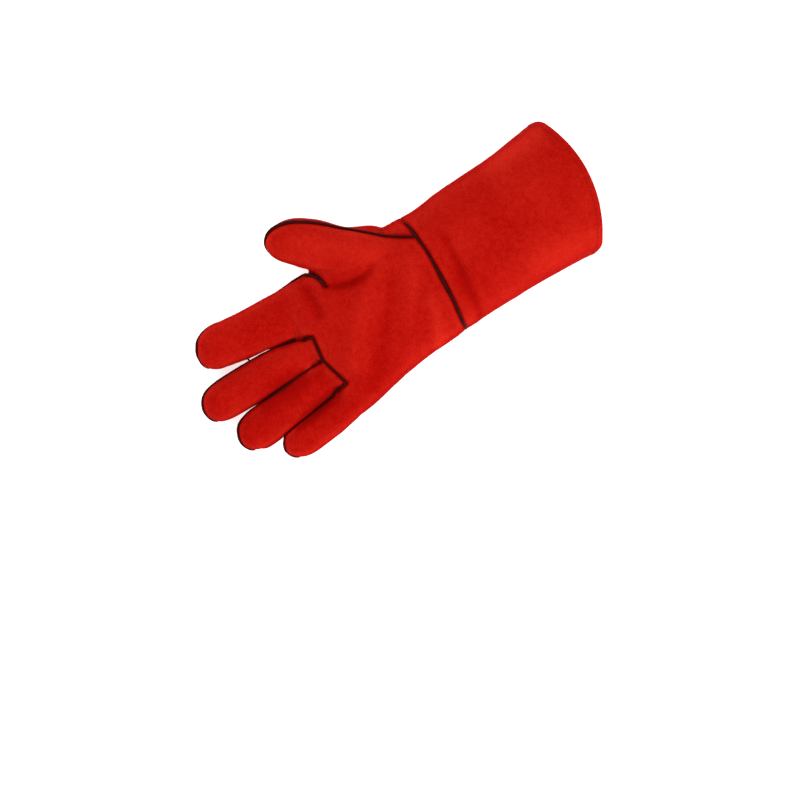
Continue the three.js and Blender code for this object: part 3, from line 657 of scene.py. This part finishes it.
def split_cowhide(name, turn, tone):
    """Red split leather. `turn` and `tone` give each panel its own place on the hide."""
    material, shader = new_material(name, 0.95, 0.04)
    link = material.node_tree.links.new
    place = add_node(material, "ShaderNodeTexCoord").outputs["Object"]
    place = add_node(material, "ShaderNodeMapping", links={"Vector": place},
                     Rotation=(0, 0, turn), Location=(turn, tone, 0)).outputs["Vector"]
    cloud = add_node(material, "ShaderNodeTexNoise", links={"Vector": place},
                     Scale=26, Detail=3, Roughness=0.5).outputs["Fac"]
    nap = add_node(material, "ShaderNodeTexNoise", links={"Vector": place},
                   Scale=210, Detail=4, Roughness=0.65, Distortion=0.6).outputs["Fac"]
    fibre = add_node(material, "ShaderNodeTexNoise", links={"Vector": place},
                     Scale=950, Detail=3, Roughness=0.65).outputs["Fac"]
    brightness = add_node(material, "ShaderNodeValue").outputs[0]
    brightness.default_value = 0.51 + tone
    for pattern, strength in ((cloud, 0.30), (nap, 0.40), (fibre, 0.50)):
        layer = add_node(material, "ShaderNodeMath", {"operation": "MULTIPLY_ADD"},
                         links={0: pattern, 2: brightness})
        layer.inputs[1].default_value = strength
        brightness = layer.outputs[0]
    from_seam_node = add_node(material, "ShaderNodeAttribute", {"attribute_name": "from_seam"})
    # Painted shade, with some dust, darkens the leather next to each seam.
    seam_shade_and_dust = add_node(material, "ShaderNodeMapRange", links={"Value": from_seam_node.outputs["Fac"]},
                    From_Min=NEAR_SEAM[0], From_Max=NEAR_SEAM[1],
                    To_Min=SEAM_SHADE_AND_DUST[0], To_Max=SEAM_SHADE_AND_DUST[1])
    value = add_node(material, "ShaderNodeMath", {"operation": "MULTIPLY"},
                     links={0: brightness, 1: seam_shade_and_dust.outputs[0]})
    # The painted light and shade, and tone, that the vertices carry.
    painted_shading_node = add_node(material, "ShaderNodeAttribute", {"attribute_name": "painted_shading_and_tone"})
    tone_with_painted_shading = add_node(material, "ShaderNodeMath", {"operation": "ADD"},
                    links={0: value.outputs[0], 1: painted_shading_node.outputs["Fac"]})
    paleness = add_node(material, "ShaderNodeMapRange", links={"Value": tone_with_painted_shading.outputs[0]},
                        From_Min=0.84, From_Max=1.20)
    base = add_node(material, "ShaderNodeMix", {"data_type": "RGBA"},
                    links={"Factor": paleness.outputs[0]})
    base.inputs[6].default_value = linear("#A60501")
    base.inputs[7].default_value = linear("#AC1C10")
    tint = add_node(material, "ShaderNodeVectorMath", {"operation": "SCALE"},
                    links={0: base.outputs[2], "Scale": tone_with_painted_shading.outputs[0]})
    link(tint.outputs[0], shader.inputs["Base Color"])
    height = add_node(material, "ShaderNodeMath", {"operation": "MULTIPLY_ADD"}, links={0: nap, 2: fibre})
    height.inputs[1].default_value = 0.8
    bump = add_node(material, "ShaderNodeBump", links={"Height": height.outputs[0]},
                    Strength=0.8, Distance=0.0006)
    link(bump.outputs[0], shader.inputs["Normal"])
    shader.inputs["Sheen Weight"].default_value = 0.35
    shader.inputs["Sheen Roughness"].default_value = 0.45
    shader.inputs["Sheen Tint"].default_value = linear("#F0240F")
    return material


def shade_smooth(piece, angle):
    bpy.context.view_layer.objects.active = piece
    piece.select_set(True)
    bpy.ops.object.shade_smooth_by_angle(angle=math.radians(angle))
    bpy.ops.object.select_all(action="DESELECT")


PANEL_FINISH = {  # turn of the hide's pattern, brightness against the others
    "back_panel": (0.0, 0.0), "palm_panel": (0.7, 0.0), "middle_finger_front": (1.9, -0.02),
    "ring_finger_front": (2.6, -0.03), "thumb_back": (3.3, -0.02), "cuff_front": (4.4, 0.02),
}
for number, name in enumerate(PANELS):
    faces = [skin_faces[i] for i in np.flatnonzero(labels == number)]
    used = sorted({i for face in faces for i in face})
    new_index = {old: new for new, old in enumerate(used)}
    own_faces = [[new_index[i] for i in face] for face in faces]
    panel = mesh_object(name + "_leather", worn_places[used], own_faces)
    for key, values in (("from_seam", from_seam), ("painted_shading_and_tone", painted_shading_and_tone)):
        attribute = panel.data.attributes.new(key, "FLOAT", "POINT")
        attribute.data.foreach_set("value", values[used].astype(np.float32))
    wall = panel.modifiers.new("wall", "SOLIDIFY")
    wall.thickness = WALL * MM
    wall.offset = -1
    bpy.context.view_layer.objects.active = panel
    bpy.ops.object.modifier_apply(modifier="wall")
    shade_smooth(panel, 50)
    panel.data.materials.append(split_cowhide("split_cowhide_" + name, *PANEL_FINISH[name]))
    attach(panel, "root")
    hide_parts(name)

# Piping
# A folded strip of thin black leather is sewn into the seams that rub, and shows as a narrow bead.
# Radius at places along it, and how far its centre lies under the surface on top and at the sides.
PIPING = {
    "wrist_piping": ([(0, 0.9), (8, 1.1), (14, 1.6), (20, 1.6), (25, 1.1), (36, 1.15), (48, 1.3),
                      (58, 1.75), (68, 1.75), (78, 1.35), (94, 1.3), (110, 1.1), (300, 1.1)], 0.5, 1.5),
    "thumb_piping": ([(0, 0.9), (50, 0.85), (72, 1.0), (90, 1.4), (110, 1.6), (122, 1.3), (145, 0.75)],
                     0.35, 0.35),
    "index_piping": ([(0, 1.4), (5, 1.9), (14, 1.9), (20, 1.35), (32, 1.0), (48, 0.8), (100, 0.8),
                      (116, 1.1), (140, 0.9)], 0.3, 0.35),
    "finger_base_piping": ([(0, 0.5), (20, 0.7), (34, 1.0), (90, 1.05)], 0.4, 0.4),
    "little_piping": ([(0, 1.0), (42, 1.0), (50, 0.9), (200, 0.9)], 0.3, 0.3),
    "middle_ring_piping": ([(0, 1.0), (14, 1.0), (24, 1.35), (38, 1.5), (60, 1.2)], 0.4, 0.4),
}
TIP_PIPING = ([(0, 0.75), (30, 1.05), (200, 1.05)], 0.25, 0.3)  # of the middle and ring fingers
PIPING_UNEVENNESS = 0.16
PIPING_TAPER = 3.5  # how far from its ends a bead begins to narrow
PIPING_SMOOTHING = 5
PIPING_REACH = 2.5  # a bead is moved into a seam that is this near
LANE_HEIGHT = 18  # above this a bead between two fingers stays where it is drawn
UPWARD_GAIN = 1.6  # how soon a bead sinks as it does on top, as the leather turns to face up
WRIST_PIPING_TURN = (24, 200)  # degrees round the hand, from the thumb side over the palm
THUMB_PIPING_FOOT, THUMB_PIPING_SHOULDER = -15, 56
DIGIT_PIPING_ENDS = {  # along each digit, on its thumb side and on its other side
    "thumb": (60, 88), "index": (20, 62), "middle": (50, 100), "ring": (66, 98), "little": (26, 56),
}
PAST_THE_CROTCH = [(-52.0, 38.6, 26), (-55, 40.5, 22), (-60, 41, 19), (-66, 40, 17.5)]
FINGER_BASE_PIPING = [(-109, 4.1), *FINGER_BASE_SEAM, (-92, -53.4)]
MIDDLE_RING_PIPING = [(-78.4, -25.7), *MIDDLE_RING_LINE[1:6]]


def wrist_path(start, end):
    """Points where the wrist seam meets the hand's tube, found in a few steps from near the seam."""
    points = []
    for angle in np.radians(np.arange(start, end + 1, 2.0)):
        x = 35.0
        for _ in range(4):
            place = hand_tube.around(CUFF_START - x, angle)
            x = float(wrist_seam_x(place[1]))
        points.append((x, place[1], place[2]))
    return np.array(points, float)


def along_digit(tube, side, start, seam_height):
    """Points along one side of a digit at its seam's height; side is 1 towards the thumb side."""
    dome = tube.length - tube.tip + tube.tip * np.sin(np.radians(np.arange(0, 88, 6)))
    straight = np.arange(start, tube.length - tube.tip, 2.0)
    points = []
    for along in [*straight, *dome[dome > start]]:
        centre, rise, half_width, half_height = tube.section(along)
        across = centre + side * half_width
        for _ in range(8):
            x, y = tube.place(along, across)
            height = float(seam_height(np.array(x), np.array(y)))
            reach = min(1, abs(height - rise) / half_height)
            across = centre + side * half_width * (1 - reach**tube.roundness) ** (1 / tube.roundness)
        points.append((*tube.place(along, across), height))
    return np.array(points, float)


def round_tip(name, seam_height):
    """Points up a digit's thumb side, round its tip and back down its other side."""
    start, end = DIGIT_PIPING_ENDS[name]
    tube = digit_tubes[name]
    up = along_digit(tube, 1, start, seam_height)
    return np.concatenate([up, along_digit(tube, -1, end, seam_height)[::-1]])


def in_the_seam(points, under_top, under_side, spacing=1.2):
    """Moves a line of points into the seam that it runs near, and smooths it."""
    laid = []
    for point in resampled(points, spacing):
        place, _, distance = seam_tree.find(Vector(point))
        if distance > PIPING_REACH:
            between_fingers = point[0] < KNUCKLE_X and point[2] > LANE_HEIGHT
            place = Vector(point) if between_fingers else flat_tree.find_nearest(Vector(point))[0]
        normal = flat_tree.find_nearest(place)[1]
        under = under_side + (under_top - under_side) * min(1, UPWARD_GAIN * max(0, normal.z))
        laid.append(np.array(place) - under * np.array(normal))
    laid = np.array(laid)
    for _ in range(PIPING_SMOOTHING):
        laid[1:-1] = (laid[:-2] + 2 * laid[1:-1] + laid[2:]) / 4
    return resampled(laid, spacing)


def black_piping_leather():
    """Thin black-brown grain leather with a low gloss."""
    material, shader = new_material("black_piping_leather", 0.62, 0.04)
    link = material.node_tree.links.new
    place = add_node(material, "ShaderNodeTexCoord").outputs["Object"]
    grain = add_node(material, "ShaderNodeTexVoronoi", links={"Vector": place},
                     Scale=1300).outputs["Distance"]
    patch = add_node(material, "ShaderNodeTexNoise", links={"Vector": place},
                     Scale=150, Detail=3).outputs["Fac"]
    colour = add_node(material, "ShaderNodeMix", {"data_type": "RGBA"}, links={"Factor": patch})
    colour.inputs[6].default_value = linear("#140303")
    colour.inputs[7].default_value = linear("#4A0A07")
    link(colour.outputs[2], shader.inputs["Base Color"])
    bump = add_node(material, "ShaderNodeBump", links={"Height": grain}, Strength=0.4, Distance=0.0002)
    link(bump.outputs[0], shader.inputs["Normal"])
    return material


piping_finish = black_piping_leather()
pipings = {
    "wrist_piping": wrist_path(*WRIST_PIPING_TURN),
    "thumb_piping": np.concatenate([
        over_surface([digit_tubes["thumb"].place(along, float(thumb_seam_offset(along)))
                      for along in range(THUMB_PIPING_FOOT, THUMB_PIPING_SHOULDER, 4)]),
        round_tip("thumb", thumb_seam_height),
    ]),
    "index_piping": np.concatenate([
        slit_line[:10], np.array(PAST_THE_CROTCH), round_tip("index", side_seam_height),
    ]),
    "middle_piping": round_tip("middle", side_seam_height),
    "ring_piping": round_tip("ring", side_seam_height),
    "little_piping": round_tip("little", side_seam_height),
    "finger_base_piping": over_surface(FINGER_BASE_PIPING),
    "middle_ring_piping": over_surface(MIDDLE_RING_PIPING),
}
for name, path in pipings.items():
    widths, under_top, under_side = PIPING.get(name, TIP_PIPING)
    points = in_the_seam(path, under_top, under_side)
    curve = bpy.data.curves.new(name + "_bead", "CURVE")
    curve.dimensions = "3D"
    curve.bevel_depth = MM
    curve.bevel_resolution = 3
    curve.use_fill_caps = True
    spline = curve.splines.new("POLY")
    spline.points.add(len(points) - 1)
    reach = lengths_along(points)
    from_end = np.clip(np.minimum(reach, reach[-1] - reach) / PIPING_TAPER, 0, 1)
    radii = np.interp(reach, *zip(*widths)) * (0.5 + 0.5 * from_end)
    for point, place, radius in zip(spline.points, points, radii):
        point.co = (*((place + GLOVE_SHIFT) * MM), 1)
        point.radius = radius * (1 + PIPING_UNEVENNESS * noise.noise(Vector(place) / 4))
    bead = bpy.data.objects.new(name + "_bead", curve)
    bpy.context.scene.collection.objects.link(bead)
    bpy.context.view_layer.objects.active = bead
    bead.select_set(True)
    bpy.ops.object.convert(target="MESH")
    bead = bpy.context.active_object
    shade_smooth(bead, 60)
    bead.data.materials.append(piping_finish)
    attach(bead, "root")
    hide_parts(name)

# Hem stitches
# The cuff's edge is turned in and held by one row of thick red polyester thread.
STITCH, STITCH_GAP, THREAD_RADIUS = 2.7, 1.1, 0.36
FLATTENED_THREAD = 0.1  # underneath, the thread is pressed flat this far above the floor
STITCH_SECTIONS = (  # place along a stitch, and thickness there
    (0.0, 0.35), (0.15, 0.9), (0.5, 1.0), (0.85, 0.9), (1.0, 0.35),
)
STITCH_HEIGHT, STITCH_DIP = 0.45, 0.9  # each stitch stands out at its middle and dips in at its ends
THREAD_SIDES = 6
HEM_TURNS = 720

# The hem's line on the cuff's tube is found by halving the space between two guesses.
turns = np.linspace(0, 2 * math.pi, HEM_TURNS, endpoint=False)
near_x, far_x = np.full(HEM_TURNS, 100.0), np.full(HEM_TURNS, float(CUFF_START))
for _ in range(20):
    middle_x = (near_x + far_x) / 2
    _, hem_y, hem_z = hand_tube.around(CUFF_START - middle_x, turns)
    inside = inside_the_rim(middle_x, hem_y, hem_z) > HEM
    near_x, far_x = np.where(inside, middle_x, near_x), np.where(inside, far_x, middle_x)
hem_points = np.stack([near_x, hem_y, hem_z], axis=1)
hem_line = resampled(np.concatenate([hem_points, hem_points[:1]]), STITCH + STITCH_GAP)
worn_tree = BVHTree.FromPolygons(worn_places.tolist(), skin_faces)
stitch_places, stitch_faces = [], []
for start, end in zip(hem_line, hem_line[1:]):
    end = start + (end - start) * STITCH / (STITCH + STITCH_GAP)
    first = len(stitch_places)
    for part, thickness in STITCH_SECTIONS:
        place, normal, _, _ = worn_tree.find_nearest(Vector(start + (end - start) * part))
        out = normal.normalized()
        side = out.cross(Vector(end - start)).normalized()
        centre = place + out * (THREAD_RADIUS * (STITCH_HEIGHT - STITCH_DIP * abs(part - 0.5) ** 2))
        for corner in range(THREAD_SIDES):
            turn = corner * 2 * math.pi / THREAD_SIDES
            spread = THREAD_RADIUS * thickness
            stitch_places.append(centre + (out * math.sin(turn) + side * math.cos(turn)) * spread)
    last = len(stitch_places) - THREAD_SIDES
    for ring in range(first, last, THREAD_SIDES):
        for corner in range(THREAD_SIDES):
            a, b = ring + corner, ring + (corner + 1) % THREAD_SIDES
            stitch_faces.append((a, b, b + THREAD_SIDES, a + THREAD_SIDES))
    stitch_faces.append(tuple(reversed(range(first, first + THREAD_SIDES))))
    stitch_faces.append(tuple(range(last, last + THREAD_SIDES)))
on_the_floor = [(place.x, place.y, max(place.z, FLATTENED_THREAD)) for place in stitch_places]
stitches = mesh_object("hem_stitches", on_the_floor, stitch_faces)
thread, thread_shader = new_material("red_polyester_thread", 0.8, 0.12)
thread_place = add_node(thread, "ShaderNodeTexCoord").outputs["Object"]
twist = add_node(thread, "ShaderNodeTexNoise", links={"Vector": thread_place}, Scale=2200)
twist_bump = add_node(thread, "ShaderNodeBump", links={"Height": twist.outputs["Fac"]},
                      Strength=0.5, Distance=0.0002)
thread.node_tree.links.new(twist_bump.outputs[0], thread_shader.inputs["Normal"])
thread_shader.inputs["Base Color"].default_value = linear("#8E0D07")
stitches.data.materials.append(thread)
shade_smooth(stitches, 60)
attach(stitches, "root")

# Room, light and camera
# The glove is photographed from straight above with a long lens, in even white light.
PICTURE_CENTRE = (-43.0, -84.4)
PICTURE_WIDTH = 624  # at the glove's middle height
PICTURE_TURN = -32.5  # degrees, so that the cuff points up and to the right
CAMERA_HEIGHT = 12000
MIDDLE_HEIGHT = 28
SENSOR = 36
FLOOR_SIZE, CAMERA_REACH = 6, 60  # in metres

bpy.ops.mesh.primitive_plane_add(size=FLOOR_SIZE, location=(0, 0, 0))
floor = bpy.context.active_object
floor.name = "studio_floor"
acrylic, acrylic_shader = new_material("lit_white_acrylic", 0.9, 0.2)
acrylic_shader.inputs["Base Color"].default_value = linear("#F4F4F4")
acrylic_shader.inputs["Emission Color"].default_value = (1, 1, 1, 1)
acrylic_shader.inputs["Emission Strength"].default_value = 0.65
floor.data.materials.append(acrylic)

SOFT_BOXES = {  # place in metres, diameter and power: one beyond each long side of the glove
    "soft_box_below": ((0.35, -1.6, 1.15), 1.3, 40),
    "soft_box_above": ((-0.45, 1.6, 1.5), 1.3, 31),
}
for name, (place, size, power) in SOFT_BOXES.items():
    bpy.ops.object.light_add(type="AREA", location=place)
    soft_box = bpy.context.active_object
    soft_box.name = name
    soft_box.data.shape = "DISK"
    soft_box.data.size = size
    soft_box.data.energy = power
    soft_box.rotation_euler = (-soft_box.location).to_track_quat("-Z", "Y").to_euler()

world = bpy.context.scene.world or bpy.data.worlds.new("studio")
bpy.context.scene.world = world
world.use_nodes = True
world.node_tree.nodes["Background"].inputs["Color"].default_value = (1, 1, 1, 1)
world.node_tree.nodes["Background"].inputs["Strength"].default_value = 0.5

bpy.ops.object.camera_add(
    location=(PICTURE_CENTRE[0] * MM, PICTURE_CENTRE[1] * MM, CAMERA_HEIGHT * MM),
    rotation=(0, 0, math.radians(PICTURE_TURN)),
)
camera = bpy.context.active_object
camera.data.sensor_width = SENSOR
camera.data.lens = SENSOR * (CAMERA_HEIGHT - MIDDLE_HEIGHT) / PICTURE_WIDTH
camera.data.clip_end = CAMERA_REACH
bpy.context.scene.camera = camera
bpy.context.scene.view_settings.view_transform = "Standard"
